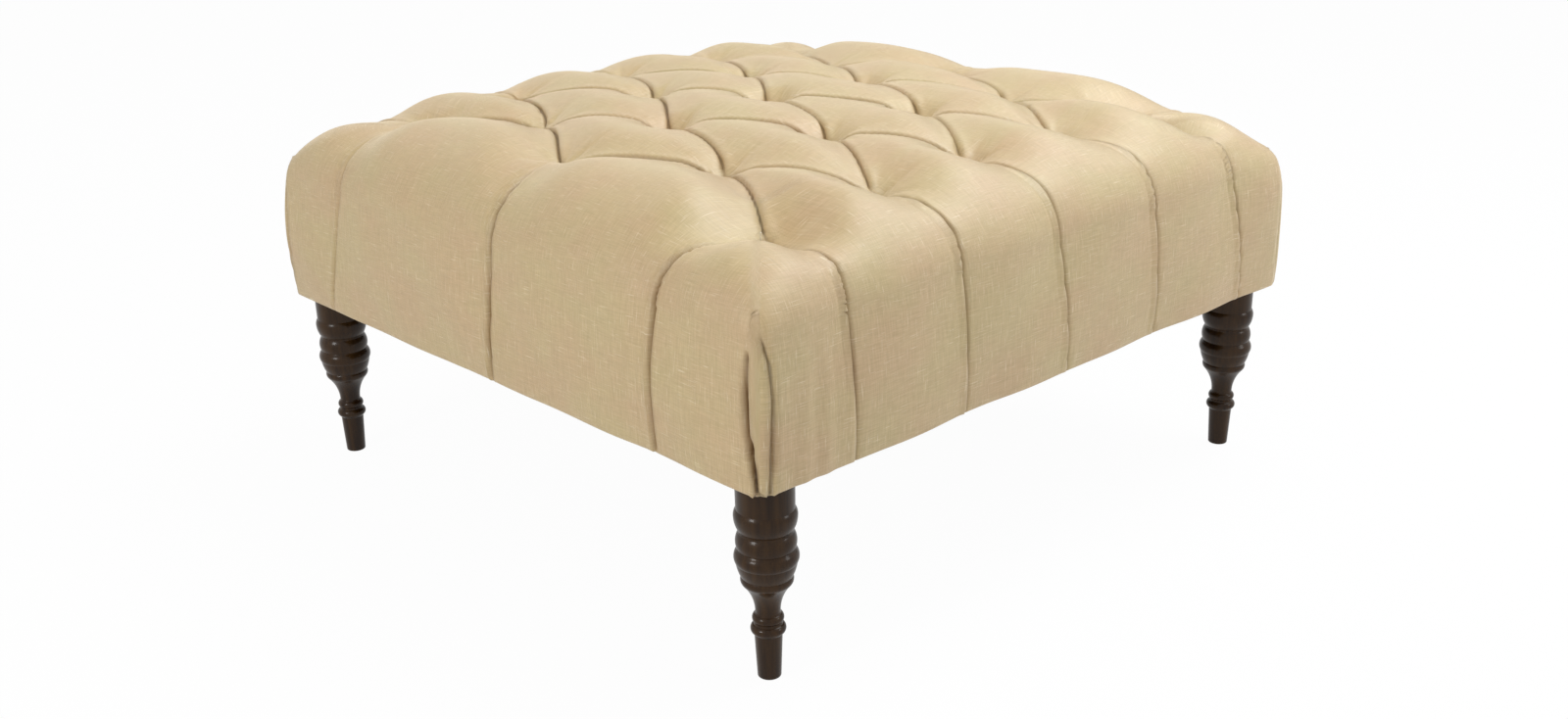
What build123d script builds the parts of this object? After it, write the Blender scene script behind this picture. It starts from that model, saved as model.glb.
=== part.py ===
from build123d import *
from math import asin, cos, degrees, sin, sqrt
import os

os.makedirs("parts", exist_ok=True)

# Square ottoman coffee table: a diamond tufted seat on four turned legs.
# Lengths are in millimetres, +Z is up, and the front faces -Y.
# The origin is on the floor, under the middle of the seat.

# Driving dimensions: seat
seat_side = 838.0
seat_underside = 206.0
shoulder_height = 352.0
rim_height = 436.0
crown_height = 457.0
rim_reach = 120.0
corner_radius = 24.0
corner_reach = 225.0
corner_bite_share = 0.3

# Driving dimensions: tufting, in rows along X that are set half a step apart
tuft_rows = 5
tufts_in_long_row = 5
tuft_step_x = 151.3
tuft_step_y = 149.2
tuft_height_edge = 398.0
tuft_height_middle = 422.0
tuft_seat_radius = 3.0
tuft_well_radius = 62.0
tuft_well_depth = 42.0
channel_height = 424.0
channel_half_width = 67.0
channel_depth = 36.0
pleat_half_width = 18.0
pleat_depth = 5.0

# Driving dimensions: layers of the seat
cover_thickness = 1.2
dust_cover_thickness = 0.6
side_batting_thickness = 7.0
hem_width = 46.0
dust_cover_margin = 15.0
deck_thickness = 15.0
foam_shoulder_rise = 28.0
foam_rim_height = 396.0
foam_crown_height = 414.0
foam_rim_reach = 108.0
foam_corner_reach = 200.0

# Driving dimensions: wooden frame
rail_thickness = 18.0
rail_height = 100.0
rail_corner_radius = 7.0
block_side = 62.0
block_height = 60.0
block_chamfer = 24.0
brace_thickness = 18.0
brace_height = 60.0
brace_offset = 113.5

# Driving dimensions: legs and their fixings
leg_inset = 37.0
leg_radius = 30.7
foot_edge = 1.5
bolt_radius = 4.0
bolt_length = 62.0
bolt_chamfer = 1.0
bolt_hole_clearance = 1.0
insert_radius = 6.0
insert_length = 20.0
thread_clearance = 0.1

# Driving dimensions: twines, screws and staples
twine_radius = 1.0
twine_clearance = 0.2
twine_hole_in_foam = 5.0
twine_hole_in_deck = 4.0
knot_radius = 2.6
knot_height = 3.0
washer_radius = 9.0
washer_thickness = 1.5
screw_radius = 2.0
screw_head_radius = 4.0
screw_head_height = 2.6
screw_tip = 5.0
screw_clearance = 0.05
rail_screw_length = 50.0
block_screw_length = 40.0
brace_screw_length = 50.0
deck_screw_length = 40.0
staple_width = 11.0
staple_leg = 8.0
staple_wire = 0.5
staple_band = 1.2
staple_clearance = 0.05
staple_inset = 20.0

staples_on_side = 8

# Places of fasteners, as shares of the pieces that they hold
deck_screw_span_share = 0.75
rail_screw_share = 0.6
rail_screw_height_shares = (0.3, 0.75)
brace_screw_height_shares = (0.3, 0.7)
block_screw_share = 0.7
block_screw_height_shares = (0.55, 0.85)
staple_span_share = 0.78

# The leg's turning, from the foot up: a point on each arc, or None for a straight, and its end
# as shares of the largest radius and of the leg's height
foot_radius_share = 0.371
turning_shares = (
    (None, (0.436, 0.221)),
    (None, (0.469, 0.228)),
    ((0.554, 0.2505), (0.456, 0.2745)),
    (None, (0.436, 0.2855)),
    ((0.495, 0.307), (0.410, 0.327)),
    (None, (0.391, 0.335)),
    ((0.466, 0.4055), (0.762, 0.4815)),
    ((0.821, 0.505), (0.795, 0.5195)),
    ((0.889, 0.5535), (0.945, 0.590)),
    ((1.0, 0.6215), (0.912, 0.654)),
    (None, (0.889, 0.660)),
    ((0.938, 0.695), (0.850, 0.741)),
    (None, (0.837, 0.7505)),
    ((0.932, 0.7805), (0.974, 0.8155)),
    ((0.960, 0.839), (0.899, 0.857)),
    (None, (0.906, 1.0)),
)

# One overrun serves every cut
overrun = 30.0

# Heights and half widths that follow from the sizes above
half_side = seat_side / 2
hem_bottom = seat_underside + dust_cover_thickness
frame_bottom = hem_bottom + cover_thickness
frame_half = half_side - cover_thickness - side_batting_thickness
rail_inner_half = frame_half - rail_thickness
deck_bottom = frame_bottom + rail_height
foam_bottom = deck_bottom + deck_thickness
leg_centre = half_side - leg_inset
corner_signs = [(-1, -1), (1, -1), (-1, 1), (1, 1)]
corner_names = ["front_left", "front_right", "back_left", "back_right"]

# Where the tufts lie: long rows and short rows take turns, front to back
row_centre = (tuft_rows - 1) / 2
tuft_places = []
tuft_grid = {}
for row in range(tuft_rows):
    in_row = tufts_in_long_row - row % 2
    for column in range(in_row):
        place_x = tuft_step_x * (column - (in_row - 1) / 2)
        place_y = tuft_step_y * (row - row_centre)
        tuft_places.append((place_x, place_y))
        tuft_grid[(row, round(2 * place_x / tuft_step_x))] = (place_x, place_y)


def tuft_height(x, y):
    """Height of a tuft's seat: the tufts rise towards the middle, as the crown does."""
    share_x = 1 - (x / half_side) ** 2
    share_y = 1 - (y / half_side) ** 2
    return tuft_height_edge + (tuft_height_middle - tuft_height_edge) * share_x * share_y


def rim_points(half, shoulder, reach, rim_top, crown_top):
    """Ends and joint of the rim's two arcs, and the direction in which the crown arrives."""
    start = Vector(half, shoulder)
    end = Vector(half - reach, rim_top)
    rise = crown_top - rim_top
    crown_radius = ((half - reach) ** 2 + rise**2) / (2 * rise)
    slope = asin((half - reach) / crown_radius)
    up = Vector(0, 1)
    arrive = Vector(-cos(slope), sin(slope))
    span = end - start
    a = 2 * (up.dot(arrive) - 1)
    b = -2 * span.dot(up + arrive)
    c = span.dot(span)
    handle = (-b - sqrt(b * b - 4 * a * c)) / (2 * a)
    joint = (start + up * handle + end - arrive * handle) * 0.5
    return start, joint, end


def crowned_outline(half, bottom, shoulder, reach, rim_top, crown_top, inset=0.0):
    """Upright sides, a rim of two arcs and a crown of one, drawn in by the inset."""
    start, joint, end = rim_points(half, shoulder, reach, rim_top, crown_top)
    foot = bottom - inset
    with BuildSketch() as outline:
        with BuildLine():
            Line((half, foot), start)
            lower = TangentArc(start, joint, tangent=(0, 1))
            TangentArc(joint, end, tangent=lower % 1)
            mirror(about=Plane.YZ)
            ThreePointArc(end, (0, crown_top), (-end.X, end.Y))
            Line((-half, foot), (half, foot))
        make_face()
        if inset:
            offset(amount=-inset, kind=Kind.INTERSECTION)
    return outline.sketch


def crowned_block(half, bottom, shoulder, reach, rim_top, crown_top, diagonal_reach, radius, inset=0.0):
    """A square cushion shape: the same outline from the front, the side and both corners."""
    straight = crowned_outline(half, bottom, shoulder, reach, rim_top, crown_top, inset)
    half_diagonal = half * sqrt(2) - radius * corner_bite_share
    diagonal = crowned_outline(half_diagonal, bottom, shoulder, diagonal_reach, rim_top, crown_top, inset)
    with BuildPart() as block:
        with BuildSketch(Plane.XZ):
            add(straight)
        extrude(amount=half, both=True)
        with BuildSketch(Plane.YZ):
            add(straight)
        extrude(amount=half, both=True, mode=Mode.INTERSECT)
        for turn in (45, -45):
            with BuildSketch(Plane.XZ.rotated((0, 0, turn))):
                add(diagonal)
            extrude(amount=2 * half, both=True, mode=Mode.INTERSECT)
        with BuildSketch(Plane.XY.offset(bottom)):
            RectangleRounded(2 * (half - inset), 2 * (half - inset), radius - inset)
        extrude(amount=crown_top - bottom, mode=Mode.INTERSECT)
    return block.part


def flank_radius(reach, depth):
    """Radius of a puff's rounded flank, from the crease up to where it runs level."""
    return (reach**2 + depth**2) / (2 * depth)


def valley_sketch(half_width, depth):
    """A valley between two puffs: two rounded flanks that meet in a crease at the origin."""
    with BuildSketch() as section:
        with BuildLine():
            RadiusArc((0, 0), (half_width, depth), flank_radius(half_width, depth))
            Polyline((half_width, depth), (half_width, depth + overrun), (0, depth + overrun), (0, 0))
        make_face()
        mirror(about=Plane.YZ)
    return section.sketch


def channel_cutters(inset):
    """The valleys along both diagonals of the tuft pattern, one straight run at a time."""
    section = valley_sketch(channel_half_width, channel_depth)
    cutters = []
    for side_step in (-1, 1):
        for (row, column), place in tuft_grid.items():
            if (row - 1, column - side_step) in tuft_grid:
                continue
            last_row, last_column = row, column
            while (last_row + 1, last_column + side_step) in tuft_grid:
                last_row, last_column = last_row + 1, last_column + side_step
            far = tuft_grid[(last_row, last_column)]
            run = Vector(far[0] - place[0], far[1] - place[1])
            if run.length == 0:
                continue
            start = Vector(place[0], place[1], channel_height - inset)
            along = run.normalized()
            across = Vector(-along.Y, along.X)
            with BuildPart() as channel:
                with BuildSketch(Plane(origin=start, x_dir=across, z_dir=along)):
                    add(section)
                extrude(amount=run.length)
            cutters.append(channel.part)
    return cutters


def tuft_well_cutters(inset):
    """A round well at each tuft, with a small flat floor where the cloth is pulled down."""
    radius = flank_radius(tuft_well_radius - tuft_seat_radius, tuft_well_depth)
    top = tuft_well_depth + overrun
    with BuildPart() as well:
        with BuildSketch(Plane.XZ):
            with BuildLine():
                Line((0, 0), (tuft_seat_radius, 0))
                RadiusArc((tuft_seat_radius, 0), (tuft_well_radius, tuft_well_depth), radius)
                Polyline((tuft_well_radius, tuft_well_depth), (tuft_well_radius, top), (0, top), (0, 0))
            make_face()
        revolve(axis=Axis.Z)
    return [Pos(x, y, tuft_height(x, y) - inset) * well.part for x, y in tuft_places]


def pleat_cutters(inset):
    """A pleat runs from each outer tuft over the rim and down the side, four sides alike."""
    start, joint, end = rim_points(half_side, shoulder_height, rim_reach, rim_height, crown_height)
    section = valley_sketch(pleat_half_width, pleat_depth)
    sideways = Vector(1, 0, 0)
    sunk = inset + pleat_depth
    foot = hem_bottom - overrun
    with BuildLine():
        lower = TangentArc(start, joint, tangent=(0, 1))
        upper = TangentArc(joint, end, tangent=lower % 1)
    with BuildPart() as pleat:
        with BuildSketch(Plane(origin=(0, half_side - sunk, foot), x_dir=sideways, z_dir=(0, 0, 1))):
            add(section)
        extrude(amount=shoulder_height - foot)
        for arc in (lower, upper):
            outward = (arc @ 0 - arc.arc_center).normalized()
            floor = Plane.YZ.from_local_coords(arc @ 0 - outward * sunk)
            onward = Plane.YZ.from_local_coords(arc % 0)
            with BuildSketch(Plane(origin=floor, x_dir=sideways, z_dir=onward)):
                add(section)
            centre = Plane.YZ.from_local_coords(arc.arc_center)
            revolve(axis=Axis(centre, sideways), revolution_arc=degrees(arc.length / arc.radius))
    columns = [tuft_step_x * (column - (tufts_in_long_row - 1) / 2) for column in range(tufts_in_long_row)]
    rows = [tuft_step_y * (row - row_centre) for row in range(0, tuft_rows, 2)]
    cutters = [Rot(0, 0, turn) * Pos(x, 0, 0) * pleat.part for turn in (0, 180) for x in columns]
    cutters += [Rot(0, 0, turn) * Pos(y, 0, 0) * pleat.part for turn in (90, -90) for y in rows]
    return cutters


def tufted_form(inset, bottom):
    """The seat's outside with its channels, wells and pleats, drawn in by the inset."""
    block = crowned_block(
        half_side, bottom, shoulder_height, rim_reach, rim_height, crown_height,
        corner_reach, corner_radius, inset,
    )
    cutters = channel_cutters(inset) + tuft_well_cutters(inset) + pleat_cutters(inset)
    return block - cutters


def export(piece, name):
    """Labels a finished piece and writes it under the same name."""
    piece.part.label = name
    export_step(piece.part, f"parts/{name}.step")


def along_sides(places, distance):
    """The same row of places along each of the four sides, turned to run with the side."""
    spots = []
    for turn in (0, 90, 180, 270):
        spots += [Rot(0, 0, turn) * Pos(place, -distance, 0) for place in places]
    return spots


def even_places(count, half_span):
    """Places at even steps from one end of a span to the other."""
    return [half_span * (2 * step / (count - 1) - 1) for step in range(count)]


def screw(length, grow=0.0):
    """A countersunk wood screw that hangs from the origin; the hole for it is grown a little."""
    head = screw_head_radius + grow
    shank = screw_radius + grow
    with BuildPart() as body:
        with BuildSketch(Plane.XZ):
            with BuildLine():
                Polyline(
                    (0, 0), (head, 0), (shank, -screw_head_height), (shank, screw_tip - length),
                    (0, -length - grow), (0, 0),
                )
            make_face()
        revolve(axis=Axis.Z)
    return body.part


def staple(grow=0.0):
    """A staple seen from below: its crown lies at the origin and its legs point up."""
    band = staple_band + 2 * grow
    wire = staple_wire + 2 * grow
    leg_place = (staple_width - staple_wire) / 2
    with BuildPart() as body:
        with BuildSketch(Plane.XY.offset(-grow)):
            Rectangle(staple_width + 2 * grow, band)
        extrude(amount=wire)
        with BuildSketch(Plane.XY):
            with Locations((-leg_place, 0), (leg_place, 0)):
                Rectangle(wire, band)
        extrude(amount=staple_leg + grow)
    return body.part


# Where the fasteners sit
deck_screw_line = frame_half - rail_thickness / 2
deck_screw_spots = along_sides(even_places(5, frame_half * deck_screw_span_share), deck_screw_line)
brace_places = [Pos(side * brace_offset, 0, 0) for side in (-1, 1)]
deck_screw_spots += [
    brace * Pos(0, place, 0) for brace in brace_places for place in even_places(3, rail_inner_half / 2)
]
deck_fixings = [Pos(0, 0, foam_bottom) * spot for spot in deck_screw_spots]
rail_screw_line = frame_half - rail_thickness * rail_screw_share
rail_fixings = [
    Pos(side * rail_screw_line, end * frame_half, frame_bottom + rail_height * share) * Rot(-90 * end, 0, 0)
    for side in (-1, 1)
    for end in (-1, 1)
    for share in rail_screw_height_shares
]
brace_fixings = [
    Pos(side * brace_offset, end * frame_half, deck_bottom - brace_height * share) * Rot(-90 * end, 0, 0)
    for side in (-1, 1)
    for end in (-1, 1)
    for share in brace_screw_height_shares
]
block_screw_line = rail_inner_half - block_side * block_screw_share
block_fixings = [
    Rot(0, 0, turn) * Pos(side * block_screw_line, -frame_half, frame_bottom + block_height * share) * Rot(90, 0, 0)
    for turn in (0, 90, 180, 270)
    for side in (-1, 1)
    for share in block_screw_height_shares
]
staple_line = half_side - staple_inset
staple_places = even_places(staples_on_side, half_side * staple_span_share)
staple_shift = (staple_places[1] - staple_places[0]) / 2
cover_staple_spots = [Pos(0, 0, hem_bottom) * spot for spot in along_sides(staple_places, staple_line)]
dust_staple_places = [place + staple_shift for place in staple_places[:-1]]
dust_staple_level = Pos(0, 0, seat_underside - staple_wire)
dust_staple_spots = [dust_staple_level * spot for spot in along_sides(dust_staple_places, staple_line)]
leg_places = [Pos(sx * leg_centre, sy * leg_centre, 0) for sx, sy in corner_signs]


def group(shape, spots):
    """The same small piece at each of its places, as separate solids."""
    with BuildPart() as pieces:
        add([spot * shape for spot in spots])
    return pieces


def rods(spots, radius, bottom, top):
    """Upright rods at the given places, to drill with."""
    with BuildPart() as bars:
        with BuildSketch(Plane.XY.offset(bottom)):
            add([spot * Circle(radius) for spot in spots])
        extrude(amount=top - bottom)
    return bars.part


# Four turned legs, each bored from above for its bolt
def turned_outline():
    """Half of the turning, from the foot up; its points are shares of the largest radius and the height."""
    with BuildSketch(Plane.XZ) as half:
        with BuildLine():
            foot_radius = leg_radius * foot_radius_share
            Line((0, 0), (foot_radius - foot_edge, 0))
            RadiusArc((foot_radius - foot_edge, 0), (foot_radius, foot_edge), -foot_edge)
            here = Vector(foot_radius, foot_edge)
            for via, to in turning_shares:
                there = Vector(to[0] * leg_radius, to[1] * seat_underside)
                if via is None:
                    Line(here, there)
                else:
                    ThreePointArc(here, (via[0] * leg_radius, via[1] * seat_underside), there)
                here = there
            Polyline(here, (0, seat_underside), (0, 0))
        make_face()
    return half.sketch


bolt_bottom = seat_underside - bolt_length / 2
bolt_top = seat_underside + bolt_length / 2
with BuildPart() as turning:
    add(turned_outline())
    revolve(axis=Axis.Z)
    with BuildSketch(Plane.XY.offset(bolt_bottom - bolt_hole_clearance)):
        Circle(bolt_radius + thread_clearance)
    extrude(amount=bolt_length, mode=Mode.SUBTRACT)
for name, place in zip(corner_names, leg_places):
    with BuildPart() as leg:
        add(place * turning.part)
    export(leg, f"leg_{name}")

# Hanger bolts: one end in the leg, the other in the corner block's insert
with BuildPart() as bolt:
    with BuildSketch(Plane.XY.offset(bolt_bottom)):
        Circle(bolt_radius)
    extrude(amount=bolt_length)
    chamfer(bolt.edges().filter_by(GeomType.CIRCLE), length=bolt_chamfer)
export(group(bolt.part, leg_places), "leg_bolts")

with BuildPart() as insert:
    with BuildSketch(Plane.XY.offset(frame_bottom)):
        Circle(insert_radius)
        Circle(bolt_radius + thread_clearance, mode=Mode.SUBTRACT)
    extrude(amount=insert_length)
export(group(insert.part, leg_places), "leg_inserts")

# The shapes that fasteners leave in the wood, the hem and the dust cover
deck_screw_holes = [spot * screw(deck_screw_length, screw_clearance) for spot in deck_fixings]
rail_screw_holes = [spot * screw(rail_screw_length, screw_clearance) for spot in rail_fixings]
brace_screw_holes = [spot * screw(brace_screw_length, screw_clearance) for spot in brace_fixings]
block_screw_holes = [spot * screw(block_screw_length, screw_clearance) for spot in block_fixings]
staple_holes = [spot * staple(staple_clearance) for spot in cover_staple_spots + dust_staple_spots]
screw_holes = deck_screw_holes + rail_screw_holes + brace_screw_holes + block_screw_holes

# Frame rails: front and back run the full width, left and right fit between them
for name, end in (("front", -1), ("back", 1)):
    with BuildPart() as rail:
        with BuildSketch(Plane.XY.offset(frame_bottom)):
            with Locations((0, end * (frame_half - rail_thickness / 2))):
                Rectangle(2 * frame_half, rail_thickness)
        extrude(amount=rail_height)
        outer = rail.edges().filter_by(Axis.Z).group_by(Axis.Y)[0 if end < 0 else -1]
        fillet(outer, radius=rail_corner_radius)
        add(screw_holes + staple_holes, mode=Mode.SUBTRACT)
    export(rail, f"rail_{name}")
for name, side in (("left", -1), ("right", 1)):
    with BuildPart() as rail:
        with BuildSketch(Plane.XY.offset(frame_bottom)):
            with Locations((side * (frame_half - rail_thickness / 2), 0)):
                Rectangle(rail_thickness, 2 * rail_inner_half)
        extrude(amount=rail_height)
        add(screw_holes + staple_holes, mode=Mode.SUBTRACT)
    export(rail, f"rail_{name}")

# Corner blocks: glued and screwed into the corners, with a chamfered inner edge
insert_hole = rods(leg_places, insert_radius, frame_bottom, frame_bottom + insert_length)
bolt_hole = rods(leg_places, bolt_radius + bolt_hole_clearance, frame_bottom, bolt_top + bolt_hole_clearance)
for name, (sx, sy) in zip(corner_names, corner_signs):
    with BuildPart() as corner_block:
        with BuildSketch(Plane.XY.offset(frame_bottom)):
            with Locations((sx * (rail_inner_half - block_side / 2), sy * (rail_inner_half - block_side / 2))):
                Rectangle(block_side, block_side)
        extrude(amount=block_height)
        inner = corner_block.edges().filter_by(Axis.Z).sort_by(Axis((0, 0, 0), (sx, sy, 0)))[0]
        chamfer(inner, length=block_chamfer)
        add([insert_hole, bolt_hole] + block_screw_holes, mode=Mode.SUBTRACT)
    export(corner_block, f"corner_block_{name}")

# Braces on edge under the deck, front to back
for name, side in (("left", -1), ("right", 1)):
    with BuildPart() as brace:
        with BuildSketch(Plane.XY.offset(deck_bottom - brace_height)):
            with Locations((side * brace_offset, 0)):
                Rectangle(brace_thickness, 2 * rail_inner_half)
        extrude(amount=brace_height)
        add(brace_screw_holes + deck_screw_holes, mode=Mode.SUBTRACT)
    export(brace, f"deck_brace_{name}")

# Plywood deck with a hole for each twine
with BuildPart() as deck_board:
    with BuildSketch(Plane.XY.offset(deck_bottom)):
        RectangleRounded(2 * frame_half, 2 * frame_half, rail_corner_radius)
        with Locations(*tuft_places):
            Circle(twine_hole_in_deck, mode=Mode.SUBTRACT)
    extrude(amount=deck_thickness)
    add(deck_screw_holes, mode=Mode.SUBTRACT)
export(deck_board, "deck_board")

# Foam block: crowned, and drilled at each tuft
core = crowned_block(
    frame_half, frame_bottom, foam_bottom + foam_shoulder_rise, foam_rim_reach, foam_rim_height,
    foam_crown_height, foam_corner_reach, rail_corner_radius,
)
with BuildPart() as foam_block:
    add(core)
    split(bisect_by=Plane.XY.offset(foam_bottom), keep=Keep.TOP)
    with BuildSketch(Plane.XY.offset(foam_bottom)):
        with Locations(*tuft_places):
            Circle(twine_hole_in_foam)
    extrude(amount=foam_crown_height - foam_bottom, mode=Mode.SUBTRACT)
export(foam_block, "foam_block")

# Batting over the foam and down the outside of the rails
cover_inside = tufted_form(cover_thickness, frame_bottom)
with BuildPart() as batting_wrap:
    add(cover_inside)
    add(core, mode=Mode.SUBTRACT)
    with BuildSketch(Plane.XY.offset(foam_bottom)):
        with Locations(*tuft_places):
            Circle(twine_radius + twine_clearance)
    extrude(amount=crown_height - foam_bottom, mode=Mode.SUBTRACT)
export(batting_wrap, "batting_wrap")

# Cover: one skin over the whole seat, turned in under the rails as a hem
with BuildPart() as fabric_cover:
    add(tufted_form(0.0, hem_bottom))
    add(cover_inside, mode=Mode.SUBTRACT)
    with BuildSketch(Plane.XY.offset(hem_bottom)):
        Rectangle(seat_side - 2 * hem_width, seat_side - 2 * hem_width)
        add([place * Circle(bolt_radius + bolt_hole_clearance) for place in leg_places])
    extrude(amount=cover_thickness, mode=Mode.SUBTRACT)
    add(staple_holes, mode=Mode.SUBTRACT)
export(fabric_cover, "fabric_cover")

# Dust cover under the frame, over the hem
with BuildPart() as dust_cover:
    with BuildSketch(Plane.XY.offset(seat_underside)):
        Rectangle(seat_side - 2 * dust_cover_margin, seat_side - 2 * dust_cover_margin)
        add([place * Circle(bolt_radius + bolt_hole_clearance) for place in leg_places], mode=Mode.SUBTRACT)
    extrude(amount=dust_cover_thickness)
    add(staple_holes, mode=Mode.SUBTRACT)
export(dust_cover, "dust_cover")

# Twines: each runs from its tuft through batting, foam and deck to a knot under its washer
twines = []
washer_top = deck_bottom
knot_top = washer_top - washer_thickness
for x, y in tuft_places:
    with BuildPart() as twine:
        with BuildSketch(Plane.XY.offset(knot_top)):
            with Locations((x, y)):
                Circle(twine_radius)
        extrude(amount=tuft_height(x, y) - cover_thickness - knot_top)
        with BuildSketch(Plane.XY.offset(knot_top - knot_height)):
            with Locations((x, y)):
                Circle(knot_radius)
        extrude(amount=knot_height)
    twines.append(twine.part)
with BuildPart() as tufting_twines:
    add(twines)
export(tufting_twines, "tufting_twines")

with BuildPart() as twine_washers:
    with BuildSketch(Plane.XY.offset(knot_top)):
        with Locations(*tuft_places):
            Circle(washer_radius)
            Circle(twine_radius + twine_clearance, mode=Mode.SUBTRACT)
    extrude(amount=washer_thickness)
export(twine_washers, "twine_washers")

# Screws and staples, each kind in one group
export(group(screw(deck_screw_length), deck_fixings), "deck_screws")
export(group(screw(rail_screw_length), rail_fixings), "rail_screws")
export(group(screw(brace_screw_length), brace_fixings), "brace_screws")
export(group(screw(block_screw_length), block_fixings), "corner_block_screws")
export(group(staple(), cover_staple_spots), "cover_staples")
export(group(staple(), dust_staple_spots), "dust_cover_staples")
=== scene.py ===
import math

import bpy
import numpy as np
from mathutils import Matrix, Vector


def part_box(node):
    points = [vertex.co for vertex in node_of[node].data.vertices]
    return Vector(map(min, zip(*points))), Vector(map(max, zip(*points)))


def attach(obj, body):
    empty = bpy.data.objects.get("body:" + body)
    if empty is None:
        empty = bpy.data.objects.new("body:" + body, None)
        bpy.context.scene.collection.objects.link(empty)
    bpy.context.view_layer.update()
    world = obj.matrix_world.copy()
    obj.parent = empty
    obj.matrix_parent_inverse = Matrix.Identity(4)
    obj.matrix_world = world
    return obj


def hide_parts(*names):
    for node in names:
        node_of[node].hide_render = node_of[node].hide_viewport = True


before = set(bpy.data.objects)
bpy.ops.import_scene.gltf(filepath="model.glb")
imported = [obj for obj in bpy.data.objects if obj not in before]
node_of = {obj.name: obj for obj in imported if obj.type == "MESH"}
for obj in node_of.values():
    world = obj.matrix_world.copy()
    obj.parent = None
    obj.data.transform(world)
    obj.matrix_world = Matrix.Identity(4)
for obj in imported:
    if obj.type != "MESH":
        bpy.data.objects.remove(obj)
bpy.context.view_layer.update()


# Turned legs: beech, stained dark espresso and sprayed with a satin lacquer.
# Each is turned in one piece and screws into the seat's corner on a hanger bolt.
# They keep the shape of the construction model and only get their finish here.
class Tint:
    """One output of a tree of nodes; sums and products of it add the nodes that work them out."""

    def __init__(self, socket):
        self.socket = socket

    def node(self, kind, settings=None, sockets=None, output=0):
        """Adds a node: its settings first, then the values or links of its sockets."""
        made = self.socket.id_data.nodes.new(kind)
        for name, value in (settings or {}).items():
            if name == "stops":
                stops = made.color_ramp.elements
                while len(stops) < len(value):
                    stops.new(1.0)
                for stop, (place, shade) in zip(stops, value):
                    stop.position = place
                    stop.color = (shade, shade, shade, 1)
            else:
                setattr(made, name, value)
        feed(made, sockets or {})
        return Tint(made.outputs[output])

    def worked_out(self, operation, *values):
        """A Math node's result for values, or for other outputs of this tree."""
        return self.node("ShaderNodeMath", {"operation": operation}, dict(enumerate(values)))

    def __add__(self, other):
        return self.worked_out("ADD", self, other)

    __radd__ = __add__

    def __mul__(self, other):
        return self.worked_out("MULTIPLY", self, other)

    __rmul__ = __mul__

    def sine(self):
        return self.worked_out("SINE", self)

    def one_way(self, axis):
        """How far along one of the three directions a place lies."""
        return self.node("ShaderNodeSeparateXYZ", None, {"Vector": self}, axis)

    def stretched(self, x, y, z):
        """The same place with its three directions scaled apart."""
        return self.node("ShaderNodeVectorMath", {"operation": "MULTIPLY"}, {0: self, 1: (x, y, z)})

    def noise(self, scale, detail=2.0, rough=0.5):
        """Cloudy values from 0 to 1 at this place."""
        return self.node(
            "ShaderNodeTexNoise", None,
            {"Vector": self, "Scale": scale, "Detail": detail, "Roughness": rough},
        )

    def between(self, low, high):
        """0 below low and 1 above high, with a ramp from one to the other."""
        return self.node("ShaderNodeValToRGB", {"stops": [(low, 0.0), (high, 1.0)]}, {"Fac": self})

    def colour(self, first, second):
        """A colour that runs from the first to the second as this value runs from 0 to 1."""
        return self.node(
            "ShaderNodeMix", {"data_type": "RGBA"}, {0: self, 6: first, 7: second}, 2
        )


def feed(node, values):
    """Gives a node's sockets their values, and links those whose value is a Tint."""
    for name, value in values.items():
        if isinstance(value, Tint):
            node.id_data.links.new(value.socket, node.inputs[name])
        else:
            node.inputs[name].default_value = value


def finish_named(name):
    """A new finish with its shader; returns it with the shader and the place on the piece."""
    finish = bpy.data.materials.new(name)
    finish.use_nodes = True
    shader = finish.node_tree.nodes["Principled BSDF"]
    place = Tint(shader.outputs["BSDF"]).node("ShaderNodeTexCoord", output="Object")
    return finish, shader, place


def rgb(red, green, blue):
    """A colour as it is seen, from 0 to 255, turned into light."""
    light = [((value / 255 + 0.055) / 1.055) ** 2.4 for value in (red, green, blue)]
    return (*light, 1)


def relief(height, depth, strength=1.0):
    """Small relief for a finish: the height's values times a depth in metres."""
    return height.node(
        "ShaderNodeBump", None, {"Height": height, "Distance": depth, "Strength": strength}
    )


def finish_nodes(finish, *nodes):
    """Gives construction nodes this finish."""
    for node in nodes:
        piece = node_of[node]
        piece.data.materials.clear()
        piece.data.materials.append(finish)


espresso, shader, place = finish_named("espresso_lacquer")
streaks = place.stretched(160, 160, 9).noise(1.0, 4.0, 0.6)
pores = place.stretched(900, 900, 60).noise(1.0, 2.0)
clouds = place.noise(14.0, 2.0)
stain = (streaks * 0.65 + clouds * 0.35).between(0.36, 0.66)
feed(shader, {
    "Base Color": stain.colour(rgb(34, 19, 5), rgb(62, 41, 17)),
    "Specular IOR Level": 0.22,
    "Roughness": 0.26 + 0.12 * streaks,
    "Normal": relief(pores * 0.5 + streaks * 0.5, 0.0004, 0.35),
    "Coat Weight": 0.2,
    "Coat Roughness": 0.13,
    "IOR": 1.32,
})
finish_nodes(espresso, "leg_front_left", "leg_front_right", "leg_back_left", "leg_back_right")


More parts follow.
